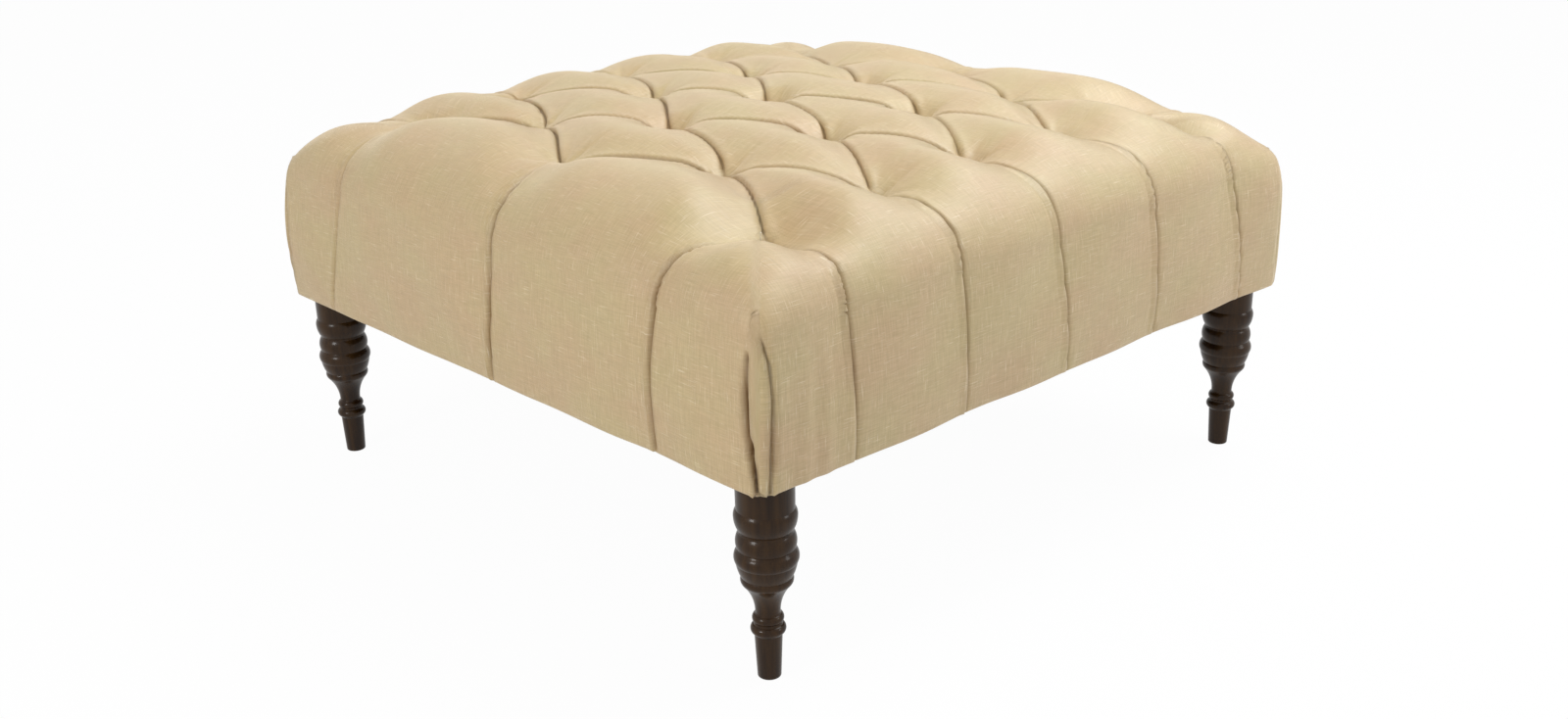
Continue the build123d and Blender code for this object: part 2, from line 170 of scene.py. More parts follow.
# Seat frame: softwood rails and corner blocks, glued and screwed, with two braces
# on edge and a plywood deck above. All of it is bare and lies inside the cover.
softwood, shader, place = finish_named("bare_softwood")
rings = place.stretched(30, 30, 140).noise(1.0, 3.0, 0.55)
fibres = place.stretched(40, 40, 700).noise(1.0, 2.0)
feed(shader, {
    "Base Color": rings.between(0.35, 0.68).colour(rgb(214, 184, 138), rgb(181, 142, 94)),
    "Roughness": 0.62 + 0.16 * fibres,
    "Normal": relief(fibres, 0.0005, 0.4),
})
finish_nodes(
    softwood, "rail_front", "rail_back", "rail_left", "rail_right",
    "deck_brace_left", "deck_brace_right", "corner_block_front_left",
    "corner_block_front_right", "corner_block_back_left", "corner_block_back_right",
)
plywood, shader, place = finish_named("plywood")
plies = place.stretched(6, 60, 420).noise(1.0, 3.0)
figure = place.stretched(7, 55, 7).noise(1.0, 4.0, 0.6)
grain = (plies * 0.5 + figure * 0.5).between(0.36, 0.64)
feed(shader, {
    "Base Color": grain.colour(rgb(212, 178, 128), rgb(173, 132, 84)),
    "Roughness": 0.6 + 0.2 * figure,
    "Normal": relief(figure, 0.0004, 0.4),
})
finish_nodes(plywood, "deck_board")


# Fixings: zinc plated screws, staples, washers and hanger bolts, turned brass
# inserts in the corner blocks, and waxed twines that pull the tufts down.
zinc, shader, place = finish_named("zinc_plate")
plating = place.noise(600.0, 2.0)
feed(shader, {
    "Base Color": plating.between(0.35, 0.7).colour(rgb(186, 188, 190), rgb(214, 214, 208)),
    "Metallic": 1.0,
    "Roughness": 0.3 + 0.2 * plating,
})
finish_nodes(
    zinc, "leg_bolts", "twine_washers", "rail_screws", "brace_screws",
    "corner_block_screws", "deck_screws", "cover_staples", "dust_cover_staples",
)
brass, shader, place = finish_named("turned_brass")
turning_marks = place.stretched(80, 80, 2600).noise(1.0, 2.0)
feed(shader, {
    "Base Color": turning_marks.between(0.3, 0.7).colour(rgb(196, 160, 84), rgb(222, 190, 118)),
    "Metallic": 1.0,
    "Roughness": 0.24 + 0.2 * turning_marks,
})
finish_nodes(brass, "leg_inserts")
waxed, shader, place = finish_named("waxed_twine")
lay = place.stretched(1400, 1400, 700).noise(1.0, 2.0)
feed(shader, {
    "Base Color": lay.between(0.3, 0.7).colour(rgb(208, 198, 172), rgb(236, 229, 210)),
    "Roughness": 0.5 + 0.2 * lay,
    "Normal": relief(lay, 0.0003, 0.6),
})
finish_nodes(waxed, "tufting_twines")


# Seat layers: a crowned foam block, polyester batting over it and down the rails,
# and the linen cover. Every layer has the same square outline with a rounded rim,
# so one grid of rings, from the middle of the top out and down, serves them all.
cover_low, cover_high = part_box("fabric_cover")
seat_half = round(cover_high.x, 4)
hem_level = round(cover_low.z, 4)
shoulder_level = 0.352
rim_level = 0.436
crown_rise = 0.0215
rim_reach = 0.120
wall_corner_radius = 0.017
rim_corner_radius = 0.165
plateau_half = seat_half - rim_reach
rim_length = 0.5 * math.pi * math.sqrt((rim_reach**2 + (rim_level - shoulder_level) ** 2) / 2)


def square_of(line):
    """Both coordinates of all points of a square grid with these lines each way."""
    return (part.ravel() for part in np.meshgrid(line, line, indexing="ij"))


def square_faces(size):
    """Four-sided faces of a square grid with that many points on a side."""
    i, j = square_of(np.arange(size - 1))
    corner = i * size + j
    return np.stack([corner, corner + size, corner + size + 1, corner + 1], 1)


def band(above, below):
    """Four-sided faces all round between two rings of points."""
    return np.stack([above, below, np.roll(below, -1), np.roll(above, -1)], 1)


def crowned(x, y):
    """1 in the middle of the seat's top and 0 at its edges."""
    return (1 - (x / seat_half) ** 2) * (1 - (y / seat_half) ** 2)


def ramp(value, start, length):
    """0 up to a start and 1 from a length further on."""
    return np.clip((value - start) / length, 0, 1)


def hump(distance, width):
    """1 at no distance, and less the more widths away."""
    return np.exp(-((distance / width) ** 2))


class SeatGrid:
    """Rings of points from the middle of the seat's top, over the rim and down to the hem."""

    def __init__(self, step, bottom):
        flat_rings = round(plateau_half / step)
        rim_rings = round(rim_length / step)
        wall_rings = round((shoulder_level - bottom) / step)
        last = flat_rings + rim_rings
        across, along = square_of(np.arange(-last, last + 1))
        ring = np.maximum(abs(across), abs(along))
        # the flat middle is a square, and from it the rim falls as a quarter of an ellipse
        turn = np.clip((last - ring) / rim_rings, 0, 1) * math.pi / 2
        on_flat = ring <= flat_rings
        over_rim = seat_half - rim_reach * (1 - np.cos(turn))
        half = np.where(on_flat, plateau_half * ring / flat_rings, over_rim)
        widen = np.where(on_flat, np.clip(ring / flat_rings, 0, 1) ** 3, 1 - np.cos(turn))
        radius = np.where(on_flat, 0, wall_corner_radius)
        radius = radius + (rim_corner_radius - radius) * widen
        level = shoulder_level + (rim_level - shoulder_level) * np.sin(turn)
        girth = np.where(on_flat, half - plateau_half, rim_length * (1 - turn / (math.pi / 2)))
        # the points at the rim's foot, in order all round: the wall's rings follow them down
        edge = [(a, -last) for a in range(-last, last)]
        edge += [(last, b) for b in range(-last, last)]
        edge += [(a, last) for a in range(last, -last, -1)]
        edge += [(-last, b) for b in range(last, -last, -1)]
        edge = np.array(edge)
        parts = [(across, along, half, radius, level, girth)]
        drop = (shoulder_level - bottom) / wall_rings
        ones = np.ones(len(edge))
        for row in range(1, wall_rings + 1):
            parts.append((
                edge[:, 0], edge[:, 1], seat_half * ones, wall_corner_radius * ones,
                (shoulder_level - row * drop) * ones, (rim_length + row * drop) * ones,
            ))
        across, along, half, radius, level, girth = (np.concatenate(part) for part in zip(*parts))
        self.level = level
        self.girth = girth
        self.x, self.y = self.on_ring(across, along, half, radius)
        # where each point lies on the cloth, which runs straight out from the flat middle
        over = girth > 0
        far = plateau_half + girth
        lies_x = abs(across) > abs(along)
        self.u = np.where(over & lies_x, np.sign(self.x) * far, self.x)
        self.v = np.where(over & ~lies_x, np.sign(self.y) * far, self.y)
        size = 2 * last + 1
        quads = [square_faces(size)]
        above = (edge[:, 0] + last) * size + edge[:, 1] + last
        self.rim_foot = above
        self.on_top = size * size
        self.wall_rings = wall_rings
        for row in range(wall_rings):
            below = size * size + row * len(edge) + np.arange(len(edge))
            quads.append(band(above, below))
            above = below
        self.quads = np.concatenate(quads)
        self.hem = above

    @staticmethod
    def on_ring(across, along, half, radius):
        """Places grid points on a square of that half width with rounded corners."""
        larger = np.maximum(abs(across), abs(along))
        smaller = np.minimum(abs(across), abs(along))
        share = smaller / np.maximum(larger, 1)
        straight = half - radius
        run = share * (straight + radius * math.pi / 4)
        bend = np.clip((run - straight) / np.maximum(radius, 1e-9), 0, math.pi / 4)
        far = straight + radius * np.cos(bend)
        near = np.where(run < straight, run, straight + radius * np.sin(bend))
        lies_x = abs(across) >= abs(along)
        x = np.where(lies_x, far, near) * np.sign(across)
        y = np.where(lies_x, near, far) * np.sign(along)
        return x, y

    def places(self):
        """The points with the crown added: highest in the middle and nothing at the rim's foot."""
        crown = crown_rise * np.clip(crowned(self.x, self.y), 0, 1)
        return np.stack([self.x, self.y, self.level + crown], 1)


def outward(places, quads):
    """Directions that point straight out of a surface at each of its points."""
    corners = places[quads]
    faces = np.cross(corners[:, 2] - corners[:, 0], corners[:, 3] - corners[:, 1])
    normals = np.zeros_like(places)
    for corner in range(4):
        for axis in range(3):
            normals[:, axis] += np.bincount(quads[:, corner], faces[:, axis], minlength=len(places))
    return normals / np.linalg.norm(normals, axis=1)[:, None]


plain_step = 0.004
plain_seat = SeatGrid(plain_step, shoulder_level - 5 * plain_step)
plain_places = plain_seat.places()


def plain_point(place):
    """The point of the plain seat that lies over or under a place."""
    away = np.hypot(plain_places[:, 0] - place[0], plain_places[:, 1] - place[1])
    return away.argmin()


def sunk_at(place):
    """How far a tuft lies under the plain seat."""
    return plain_places[plain_point(place), 2] - place[2]


def girth_at(place):
    """How far the cloth has run out over the rim at a tuft."""
    return plain_seat.girth[plain_point(place)]


fold_crest = 0.440
fold_fall = 0.0435
back_fold_fall = 0.030


def fold_level(x, y):
    """Height of the folds between the tufts: they lie lower towards the rim, least at the back."""
    fall = np.where(y < 0, fold_fall, back_fold_fall)
    return fold_crest - fold_fall * (x / seat_half) ** 2 - fall * (y / seat_half) ** 2


def fold_depth(x, y):
    """How far the folds lie under the tops of the puffs."""
    return rim_level + crown_rise * crowned(x, y) - fold_level(x, y)


# where the tufts lie in rows of five and four, and how far each lies under the folds
tuft_step_x = 0.1513
tuft_step_y = 0.1492
tuft_rows = 5
tuft_sink = 0.030
tuft_sink_loss = 1.3
least_sink_share = 0.1

# the small drift of hand work in millimetres: sideways to the eye, and up
tuft_drift = {
    (0, 0): (7, 0), (0, 1): (2, -2), (0, 2): (-7, 1), (0, 3): (-10, 7), (0, 4): (4, 2),
    (1, 0): (5, -1), (1, 1): (3, -3), (1, 2): (1, -3), (1, 3): (3, 5),
    (2, 0): (-8, 3), (2, 1): (-8, -4), (2, 2): (-9, -6), (2, 3): (-6, 0), (2, 4): (3, 2),
    (3, 0): (-3, 4), (3, 1): (4, 0), (3, 2): (5, 0), (3, 3): (2, 9),
    (4, 0): (3, -2), (4, 1): (-4, 2), (4, 2): (2, 3), (4, 3): (5, -1), (4, 4): (-3, 2),
}
sideways = (0.729, -0.684)
millimetre = 0.001
tufts = {}
for row in range(tuft_rows):
    in_row = tuft_rows - row % 2
    for column in range(in_row):
        x = tuft_step_x * (column - (in_row - 1) / 2)
        y = tuft_step_y * (row - (tuft_rows - 1) / 2)
        aside, up = tuft_drift[(row, column)]
        far = (x / seat_half) ** 2 + (y / seat_half) ** 2
        z = fold_level(x, y) - tuft_sink * np.clip(1 - tuft_sink_loss * far, least_sink_share, 1)
        tufts[(row, round(2 * x / tuft_step_x))] = np.array([
            x + aside * millimetre * sideways[0],
            y + aside * millimetre * sideways[1],
            z + up * millimetre,
        ])

# where each pleat crosses the rim's foot and the hem, along its side from the seat's middle
pleat_lines = {
    "front": [
        ((0, -4), -0.305, -0.303), ((0, -2), -0.151, -0.146), ((0, 0), 0.001, 0.012),
        ((0, 2), 0.163, 0.170), ((0, 4), 0.318, 0.336),
    ],
    "back": [
        ((4, -4), -0.306, -0.312), ((4, -2), -0.152, -0.150), ((4, 0), -0.002, -0.006),
        ((4, 2), 0.154, 0.158), ((4, 4), 0.306, 0.318),
    ],
    "left": [((0, -4), -0.274, -0.271), ((2, -4), -0.016, -0.006), ((4, -4), 0.285, 0.322)],
    "right": [((0, 4), -0.302, -0.306), ((2, 4), 0.004, 0.008), ((4, 4), 0.298, 0.304)],
}
hem_girth = rim_length + shoulder_level - hem_level
puff_reach = 0.064
crater_reach = 0.040
pleat_depth = 0.0085
pleat_rise = 0.105

# how far a fold that leans right bows out, and towards which tuft, in even and odd rows
right_bows = ((0.009, 1.5), (0.012, 0.6))
left_bow = 0.003
fold_end_share = 0.1


class Tufting:
    """The folds, pleats and tufts as they lie at places of the plain seat: its plan and its girth."""

    def __init__(self, x, y, girth):
        self.x = x
        self.y = y
        self.girth = girth
        self.runs = []
        for (row, column), start in tufts.items():
            for aside in (-1, 1):
                end = tufts.get((row + 1, column + aside))
                if end is not None:
                    self.runs.append(self.diagonal(row, start, end, aside))
        for side, lines in pleat_lines.items():
            for key, shoulder, foot in lines:
                self.runs.append(self.pleat(side, tufts[key], shoulder, foot))

    def diagonal(self, row, start, end, aside):
        """Distance across a fold between two tufts, its depth, how crisp it is, and how much painted
        shade darkens its colour.

        The cloth is folded row by row: in every other row the folds that lean left are
        softer, and the folds that lean right swing out near the tuft behind instead of the
        one in front.
        """
        length = math.hypot(end[0] - start[0], end[1] - start[1])
        way = ((end[0] - start[0]) / length, (end[1] - start[1]) / length)
        du, dv = self.x - start[0], self.y - start[1]
        run = (du * way[0] + dv * way[1]) / length
        share = np.clip(run, 0, 1)
        if aside > 0:
            swing, towards = right_bows[row % 2]
            bow = swing * np.sin(math.pi * share**towards)
            flat, firm, shade = 0.22, 1.1, 0.05
        else:
            bow = left_bow * math.sin(31 * start[0] + 17 * start[1]) * np.sin(math.pi * share)
            flat, firm, shade = 0.36, (0.7, 1.1)[row % 2], 0.5
        crisp = ramp(run, 0, fold_end_share) * ramp(1 - run, 0, fold_end_share)
        depth = fold_depth(start[0] + (end[0] - start[0]) * share, start[1] + (end[1] - start[1]) * share)
        return {
            "across": du * way[1] - dv * way[0] - bow,
            "beyond": np.maximum(0, np.maximum(-run, run - 1)) * length,
            "depth": depth * (1 - flat * np.sin(math.pi * share)),
            "crisp": crisp * firm, "beside": 0 * run,
            "way_x": way[1], "way_y": -way[0], "lip": 1.0, "shade": shade,
        }

    def pleat(self, side, start, shoulder, foot):
        """The same for a pleat that runs out over the rim and down the side to the hem."""
        if side in ("front", "back"):
            out = np.sign(start[1]) * (self.y - start[1])
            lateral, begin, way = self.x, start[0], (1, 0)
        else:
            out = np.sign(start[0]) * (self.x - start[0])
            lateral, begin, way = self.y, start[1], (0, 1)
        start_girth = girth_at(start)
        run = np.clip(self.girth - start_girth, 0, None)
        swing = np.clip(run / (rim_length - start_girth), 0, 1)
        line = begin + (shoulder - begin) * swing * (2 - swing)
        line = line + (foot - shoulder) * ramp(self.girth, rim_length, hem_girth - rim_length)
        rise = np.clip(1 - run / (pleat_rise - 0.9 * start_girth), 0, 1) ** 1.3
        full, firm, lip = 0.4, 1.3, 1.0
        if side == "front":
            full, lip = 1.0, -1.0
        elif side == "left" and start[1] < -tuft_step_y:
            full = 0.75
        elif side == "left" and start[1] > tuft_step_y:
            firm = 0.4
        depth = full * fold_depth(start[0], start[1]) * rise + pleat_depth * np.exp(-run / rim_length)
        return {
            "across": lateral - line, "beyond": np.maximum(0, -out), "depth": depth,
            "crisp": firm * ramp(run, 0.02, 0.05), "beside": ramp(run, 0.03, 0.05),
            "way_x": way[0], "way_y": way[1], "lip": lip, "shade": 0.5,
        }

    def valleys(self):
        """How far the cloth lies under the puffs' tops at each point."""
        near = 0.0
        weighed = 0.0
        for run in self.runs:
            weight = (run["across"] ** 2 + run["beyond"] ** 2 + 1e-8) ** -2
            near = near + weight
            weighed = weighed + weight * run["depth"]
        share = np.clip(near ** -0.25 / puff_reach, 0, 1)
        return weighed / near * (0.5 + 0.5 * np.cos(share * math.pi)) + self.craters()

    def craters(self):
        """How far each tuft pulls the cloth down under the folds that meet at it."""
        draw = 0.0
        for place in tufts.values():
            extra = sunk_at(place) - fold_depth(place[0], place[1])
            here = np.hypot(self.x - place[0], self.y - place[1])
            draw = draw + extra * np.clip(1 - here / crater_reach, 0, 1) ** 1.5
        return draw

    def nearest(self):
        """The nearest fold's values at each point."""
        gaps = np.array([np.hypot(run["across"], run["beyond"]) for run in self.runs])
        best = gaps.argmin(axis=0)
        picked = {"gap": gaps.min(axis=0)}
        for key in ("across", "crisp", "beside"):
            values = np.array([run[key] for run in self.runs])
            picked[key] = np.take_along_axis(values, best[None], 0)[0]
        for key in ("way_x", "way_y", "lip", "shade"):
            picked[key] = np.array([run[key] for run in self.runs])[best]
        return picked

    def tuft_polar(self):
        """Distance to the nearest tuft, and the bearing from it, turned by some angle at each tuft."""
        gap = np.full(len(self.x), 2 * seat_half)
        bearing = np.zeros(len(self.x))
        for place in tufts.values():
            here = np.hypot(self.x - place[0], self.y - place[1])
            turn = np.arctan2(self.y - place[1], self.x - place[0]) + 40 * place[0]
            bearing = np.where(here < gap, turn, bearing)
            gap = np.minimum(here, gap)
        return gap, bearing


front_right_corner = (0.395, -0.395)
corner_reach = 0.06
corner_flat_depth = 0.011
corner_full_depth = 0.005
wall_bulge = 0.0050
wrinkle_depth = 0.0012
wrinkle_place = -0.352


def drawn_in(grid):
    """A seat grid's points, drawn in by the valleys and tufts."""
    places = grid.places()
    x, y, u, v, girth = grid.x, grid.y, grid.u, grid.v, grid.girth
    tufting = Tufting(x, y, girth)
    gap, _ = tufting.tuft_polar()
    # slow waves make the puffs a little uneven, away from the tufts
    swell = 0.0014 * np.sin(23 * u + 1.3) * np.sin(19 * v + 0.4) + 0.0008 * np.sin(41 * u - 37 * v)
    draw = tufting.valleys() - swell * ramp(gap, 0, 0.05)
    # the filling of the front right corner is flatter at the rim and fuller on the side
    corner = hump(np.hypot(x - front_right_corner[0], y - front_right_corner[1]), corner_reach)
    draw = draw + corner * corner_flat_depth * hump(girth - 0.110, 0.055)
    draw = draw - corner * corner_full_depth * ramp(girth, 0.13, 0.05)
    # the sides are fuller low down, and turn in again at the hem
    drop = ramp(girth, rim_length, hem_girth - rim_length)
    draw = draw - wall_bulge * np.sin(math.pi * 0.85 * drop) ** 0.9
    # soft upright folds low on the front, beside the left corner
    low = ramp(girth, rim_length, 0.06) * (y < -0.3)
    draw = draw + wrinkle_depth * low * hump(x - wrinkle_place, 0.03) * np.sin(x * 230 + girth * 5)
    return places - outward(places, grid.quads) * draw[:, None]


def seat_mesh(name, places, quads, **notes):
    """A smooth shaded piece from points and four-sided faces, with notes kept at its points."""
    mesh = bpy.data.meshes.new(name)
    mesh.from_pydata(places.tolist(), [], quads.tolist())
    mesh.polygons.foreach_set("use_smooth", np.ones(len(quads), bool))
    for note, values in notes.items():
        kept = mesh.attributes.new(note, "FLOAT_VECTOR", "POINT")
        kept.data.foreach_set("vector", values.astype(np.float32).ravel())
    mesh.update()
    piece = bpy.data.objects.new(name, mesh)
    bpy.context.scene.collection.objects.link(piece)
    return piece


def points_of(mesh):
    """The places of a mesh's points, one row each."""
    places = np.zeros(len(mesh.vertices) * 3)
    mesh.vertices.foreach_get("co", places)
    return places.reshape(-1, 3)


def thickened(piece, thickness):
    """Gives a piece of cloth its thickness, on its inner side."""
    both_sides = piece.modifiers.new("cloth_thickness", "SOLIDIFY")
    both_sides.thickness = thickness
    both_sides.offset = -1.0


# how far in and how far up each ring of the hem lies, as it turns in under the rails
hem_rings = ((0.0006, 0.0012), (0.004, 0.0), (0.012, 0.0), (0.028, 0.0), (0.046, 0.0))
cloth_half = 0.6


def hem_added(grid, places):
    """The cover's points, faces, run of cloth and plan, with the hem that turns in."""
    cloth = np.stack([grid.u, grid.v, grid.girth], 1)
    plan = np.stack([grid.x, grid.y, grid.girth], 1)
    edge = places[grid.hem]
    parts, runs, plans, quads = [places], [cloth], [plan], [grid.quads]
    above, count = grid.hem, len(places)
    for inset, lift in hem_rings:
        shrink = (seat_half - inset) / seat_half
        lower = edge * [shrink, shrink, 0]
        lower[:, 2] = hem_level + lift
        below = count + np.arange(len(edge))
        quads.append(band(above, below))
        parts.append(lower)
        run = cloth[grid.hem] * (1 + inset / cloth_half)
        run[:, 2] = hem_girth + inset
        runs.append(run)
        plans.append(np.stack([plan[grid.hem, 0], plan[grid.hem, 1], run[:, 2]], 1))
        above = below
        count += len(edge)
    return np.concatenate(parts), np.concatenate(quads), np.concatenate(runs), np.concatenate(plans)


sim_frames = 20


def blown_up(piece, held, reach):
    """Puffs a piece up as cloth over a pressing filling, with each point moved by no more than reach."""
    group = piece.vertex_groups.new(name="held")
    for level in np.unique(held):
        if level > 0:
            group.add(np.flatnonzero(held == level).tolist(), float(level), "REPLACE")
    start = points_of(piece.data)
    cloth = piece.modifiers.new("filling", "CLOTH")
    cloth.settings.quality = 6
    cloth.settings.mass = 0.15
    cloth.settings.tension_stiffness = 12
    cloth.settings.compression_stiffness = 8
    cloth.settings.shear_stiffness = 4
    cloth.settings.bending_stiffness = 0.5
    cloth.settings.air_damping = 6
    cloth.settings.vertex_group_mass = "held"
    cloth.settings.pin_stiffness = 1.0
    cloth.settings.use_pressure = True
    cloth.settings.uniform_pressure_force = 4.0
    cloth.settings.shrink_min = 0.0
    cloth.settings.effector_weights.gravity = 0
    cloth.collision_settings.use_collision = False
    cloth.point_cache.frame_start = 1
    cloth.point_cache.frame_end = sim_frames
    for frame_number in range(1, sim_frames + 1):
        bpy.context.scene.frame_set(frame_number)
    move = points_of(piece.evaluated_get(bpy.context.evaluated_depsgraph_get()).to_mesh()) - start
    piece.modifiers.remove(cloth)
    piece.vertex_groups.remove(group)
    bpy.context.scene.frame_set(1)
    size = np.linalg.norm(move, axis=1)[:, None]
    move = move * np.minimum(1, reach / np.maximum(size, 1e-9))
    piece.data.vertices.foreach_set("co", (start + move).ravel())
    piece.data.update()


def subdivided(piece):
    """Gives a piece one subdivision, applied to its mesh."""
    finer = piece.modifiers.new("finer", "SUBSURF")
    finer.levels = 1
    finer.render_levels = 1
    mesh = bpy.data.meshes.new_from_object(piece.evaluated_get(bpy.context.evaluated_depsgraph_get()))
    piece.modifiers.clear()
    coarse = piece.data
    piece.data = mesh
    bpy.data.meshes.remove(coarse)


# Cover: one piece of slubbed linen, pulled down by the twines, folded between the tufts
# and pleated down the sides. Its corners are folded in, and its hem is stapled under the
# rails. The filling presses it out between the folds, and the tufts and the hem hold it.
fine_step = 0.0068
cover_step = fine_step
cover_thickness = round(cover_high.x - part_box("batting_wrap")[1].x, 4)
puff_limit = 0.007
cover_grid = SeatGrid(cover_step, hem_level + 0.004)
blank, cover_quads, cloth_run, seat_plan = hem_added(cover_grid, drawn_in(cover_grid))
cover = seat_mesh("linen_cover", blank, cover_quads, cloth_run=cloth_run, seat_plan=seat_plan)
layout = Tufting(*seat_plan.T)
tuft_gap, _ = layout.tuft_polar()
in_fold = layout.nearest()["gap"] < 0.006
girth = seat_plan[:, 2]
# 0 lets the cloth puff up and 1 holds it: folds, sides, pleats, tufts and hem
held = np.where(in_fold, 0.4, 0.0)
held = np.where(girth > rim_length - 0.02, 0.7, held)
held = np.where(in_fold & (girth > 0.1), 0.9, held)
held = np.where(tuft_gap < 0.008, 1.0, held)
held = np.where(girth > hem_girth - 0.008, 1.0, held)
blown_up(cover, held, puff_limit)
cover_shape = points_of(cover.data)[:len(cover_grid.u)]
subdivided(cover)

# each corner's two creases: shares of the way down, the crease's distance round the corner
# there (below 0 on the left and right sides), the share where it starts, how far it gapes
corner_creases = (
    (
        (0, 0.24, 0.43, 0.63, 0.88, 1),
        (-0.0095, -0.0106, -0.0123, -0.0114, -0.0056, -0.0032), 0.16, 1.45,
    ),
    (
        (0, 0.1, 0.24, 0.43, 0.66, 0.88, 1),
        (0.001, 0.0025, 0.0080, 0.0098, 0.0098, 0.0084, 0.0072), 0.06, 0.8,
    ),
)
corner_crease_top = 0.372
corner_crease_width = 0.0017
corner_crease_depth = 0.0062
gather_reach = 0.011
corner_gather_reach = 0.009
crease_width = 0.0013
crease_depth = 0.0052
second_crease_depth = 0.0040
pinch_width = 0.0045
pinch_depth = 0.0050
ray_count = 7
ray_depth = 0.0052


def corner_run(places):
    """Distance round the seat from the nearest upright corner; below 0 on the left and right."""
    centre = seat_half - wall_corner_radius
    a, b = abs(places[:, 0]) - centre, abs(places[:, 1]) - centre
    arc = wall_corner_radius * math.pi / 4
    turn = np.arctan2(np.maximum(b, 0), np.maximum(a, 1e-9))
    return np.where(b <= 0, b - arc, np.where(a <= 0, arc - a, wall_corner_radius * turn - arc))


def corner_drop(places):
    """Share of the way down a corner's creases, from their top to the hem."""
    return np.clip((corner_crease_top - places[:, 2]) / (corner_crease_top - hem_level), 0, 1)


def beside_crease(places, drops, asides):
    """Distance from a corner's crease, measured round the corner."""
    return corner_run(places) - np.interp(corner_drop(places), drops, asides)


def gathered(across, reach, power):
    """How far points that lie within reach of a line move, so that they crowd towards it."""
    gap = np.minimum(abs(across), reach)
    return (reach * (gap / reach) ** power - gap) * np.sign(across)


def points_gathered(places, x, y, girth):
    """Crowds the points along the folds and corner creases, so that these come out crisp."""
    near = Tufting(x, y, girth).nearest()
    pull = np.where(near["gap"] < gather_reach, gathered(near["across"], gather_reach, 2.2), 0)
    over_rim = girth > 0.06
    lies_x = over_rim & (abs(x) > abs(y))
    lies_y = over_rim & ~lies_x
    shift_x = np.where(lies_x, 0, near["way_x"]) * pull
    shift_y = np.where(lies_y, 0, near["way_y"]) * pull
    places[:, 0] += shift_x
    places[:, 1] += shift_y
    low = (places[:, 2] < corner_crease_top + 0.006) & (abs(corner_run(places)) < 0.05)
    lies = abs(places) - (seat_half - wall_corner_radius)
    angle = np.arctan2(np.clip(lies[:, 1], 0, None), np.clip(lies[:, 0], 1e-9, None))
    for drops, asides, _, _ in corner_creases:
        side = beside_crease(places, drops, asides)
        pull = np.where(low, gathered(side, corner_gather_reach, 2.0), 0)
        places[:, 0] -= np.sign(places[:, 0]) * np.sin(angle) * pull
        places[:, 1] += np.sign(places[:, 1]) * np.cos(angle) * pull
    return x + shift_x, y + shift_y


def fold_creases(x, y, girth):
    """How far the folds, pleats and tufts draw the cloth in, and how much painted shade darkens the
    cloth's colour in them.
    """
    tufting = Tufting(x, y, girth)
    near = tufting.nearest()
    tuft_gap, bearing = tufting.tuft_polar()
    pinch = pinch_depth * hump(tuft_gap, pinch_width)
    rays = np.clip(np.cos(ray_count * bearing), 0, 1) ** 3
    rays = ray_depth * rays * np.exp(-tuft_gap / 0.022) * (1 - np.exp(-tuft_gap / 0.005))
    side = near["across"] * near["lip"]
    line = hump(side, crease_width)
    lip = hump(side - 0.0038, 0.0026) * (0.0006 + 0.0013 * ramp(girth, 0, 0.08))
    under = 0.0005 * hump(side + 0.0044, 0.0036)
    second = near["beside"] * hump(side - 0.0095, 0.0026) * (1 - ramp(girth, 0, 0.26))
    strength = near["crisp"] * (0.35 + 0.65 * ramp(tuft_gap, 0.004, 0.014)) * hump(near["gap"], 0.02)
    strength = strength * ramp(hem_girth + 0.003 - girth, 0, 0.010)
    draw = strength * (crease_depth * line - lip + under) + second_crease_depth * second
    # the second value is painted shade, which darkens the linen's colour along the creases
    return pinch + rays + draw, near["shade"] * strength * line


def corner_folds(places, girth):
    """The same for the corners: a strip folded in between two creases, down to the hem."""
    front_left = (places[:, 0] < 0) & (places[:, 1] < 0)
    folded = np.where(front_left, 1.0, 0.4) * (girth < hem_girth + 0.002)
    drop = corner_drop(places)
    open_at = 0.8 + 0.5 * hump(drop - 0.68, 0.2)
    draw, shade = 0.0, 0.0
    for drops, asides, start, gape in corner_creases:
        side = beside_crease(places, drops, asides)
        fade = folded * ramp(drop, start, 0.08)
        slot = hump(side, corner_crease_width * open_at)
        lips = 0.0012 * hump(abs(side) - 0.0042, 0.0024)
        draw = draw + gape * fade * (corner_crease_depth * open_at * slot - lips)
        # painted shade: the linen's colour is darkened in the corner's slots
        shade = shade + 0.65 * gape**2 * fade * slot
    return draw, shade


def creased(piece):
    """Sews the crisp folds, pleats, tuft puckers and corner folds into the fine mesh."""
    mesh = piece.data
    places = points_of(mesh)
    plan = np.zeros(len(places) * 3, np.float32)
    mesh.attributes["seat_plan"].data.foreach_get("vector", plan)
    x, y, girth = plan.reshape(-1, 3).astype(float).T
    x, y = points_gathered(places, x, y, girth)
    quads = np.zeros(len(mesh.polygons) * 4, np.int32)
    mesh.polygons.foreach_get("vertices", quads)
    fold_draw, fold_shade = fold_creases(x, y, girth)
    corner_draw, corner_shade = corner_folds(places, girth)
    places = places - outward(places, quads.reshape(-1, 4)) * (fold_draw + corner_draw)[:, None]
    mesh.vertices.foreach_set("co", places.ravel())
    # the creases' painted shade, kept at each point to darken the linen's colour
    shade = mesh.attributes.new("fold_shade", "FLOAT", "POINT")
    shade.data.foreach_set("value", np.clip(fold_shade + corner_shade, 0, 0.95))
    mesh.update()


creased(cover)
thickened(cover, cover_thickness)

